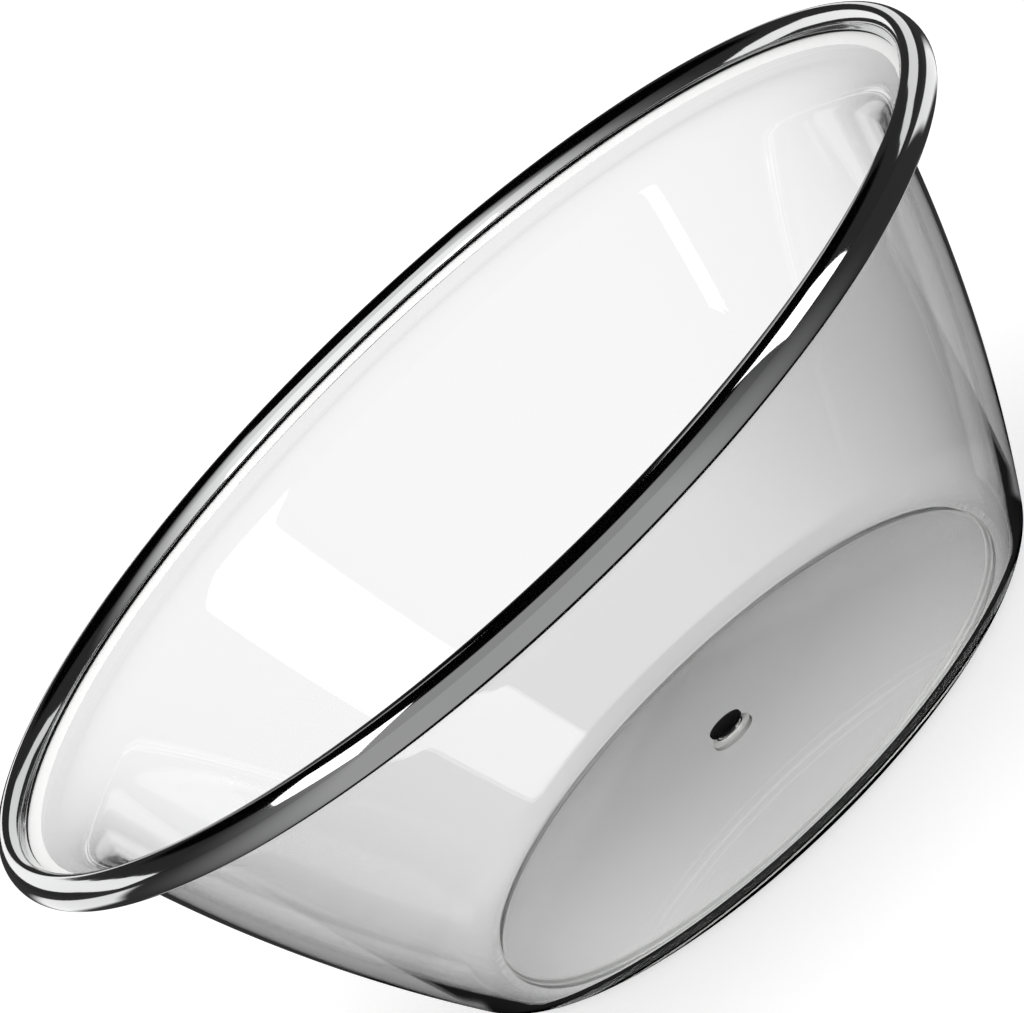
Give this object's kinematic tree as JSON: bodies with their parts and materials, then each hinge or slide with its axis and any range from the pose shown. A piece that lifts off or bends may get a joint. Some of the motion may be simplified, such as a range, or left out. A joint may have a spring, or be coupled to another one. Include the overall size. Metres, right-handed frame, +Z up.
{
  "type": "hand basin",
  "caption": "Round clear glass hand basin with a flared wall, a polished steel rim rolled over a rubber liner, a shallow domed floor and a lift-out rubber drain plug.",
  "frame": {"origin": "on the basin's axis, at the level of the foot that it stands on", "axes": "+Z up along the basin's axis, out of its mouth; X and Y are alike, because it is round"},
  "size_m": [0.3604, 0.3604, 0.1338],
  "materials": {
    "clear_glass": "clear, polished",
    "polished_steel": "mirror polished",
    "white_silicone": "matte, milky white",
    "black_rubber": "satin"
  },
  "bodies": {
    "basin": {"glass_bowl": "clear_glass", "rim_seal": "black_rubber", "rim_ring": "polished_steel", "drain_bush": "white_silicone"},
    "plug": {"drain_plug": "black_rubber"}
  },
  "joints": [
    {"name": "plug_lift", "type": "slide", "parent": "basin", "child": "plug", "axis": [0, 0, 1], "range_m": [0, 0.14]}
  ]
}
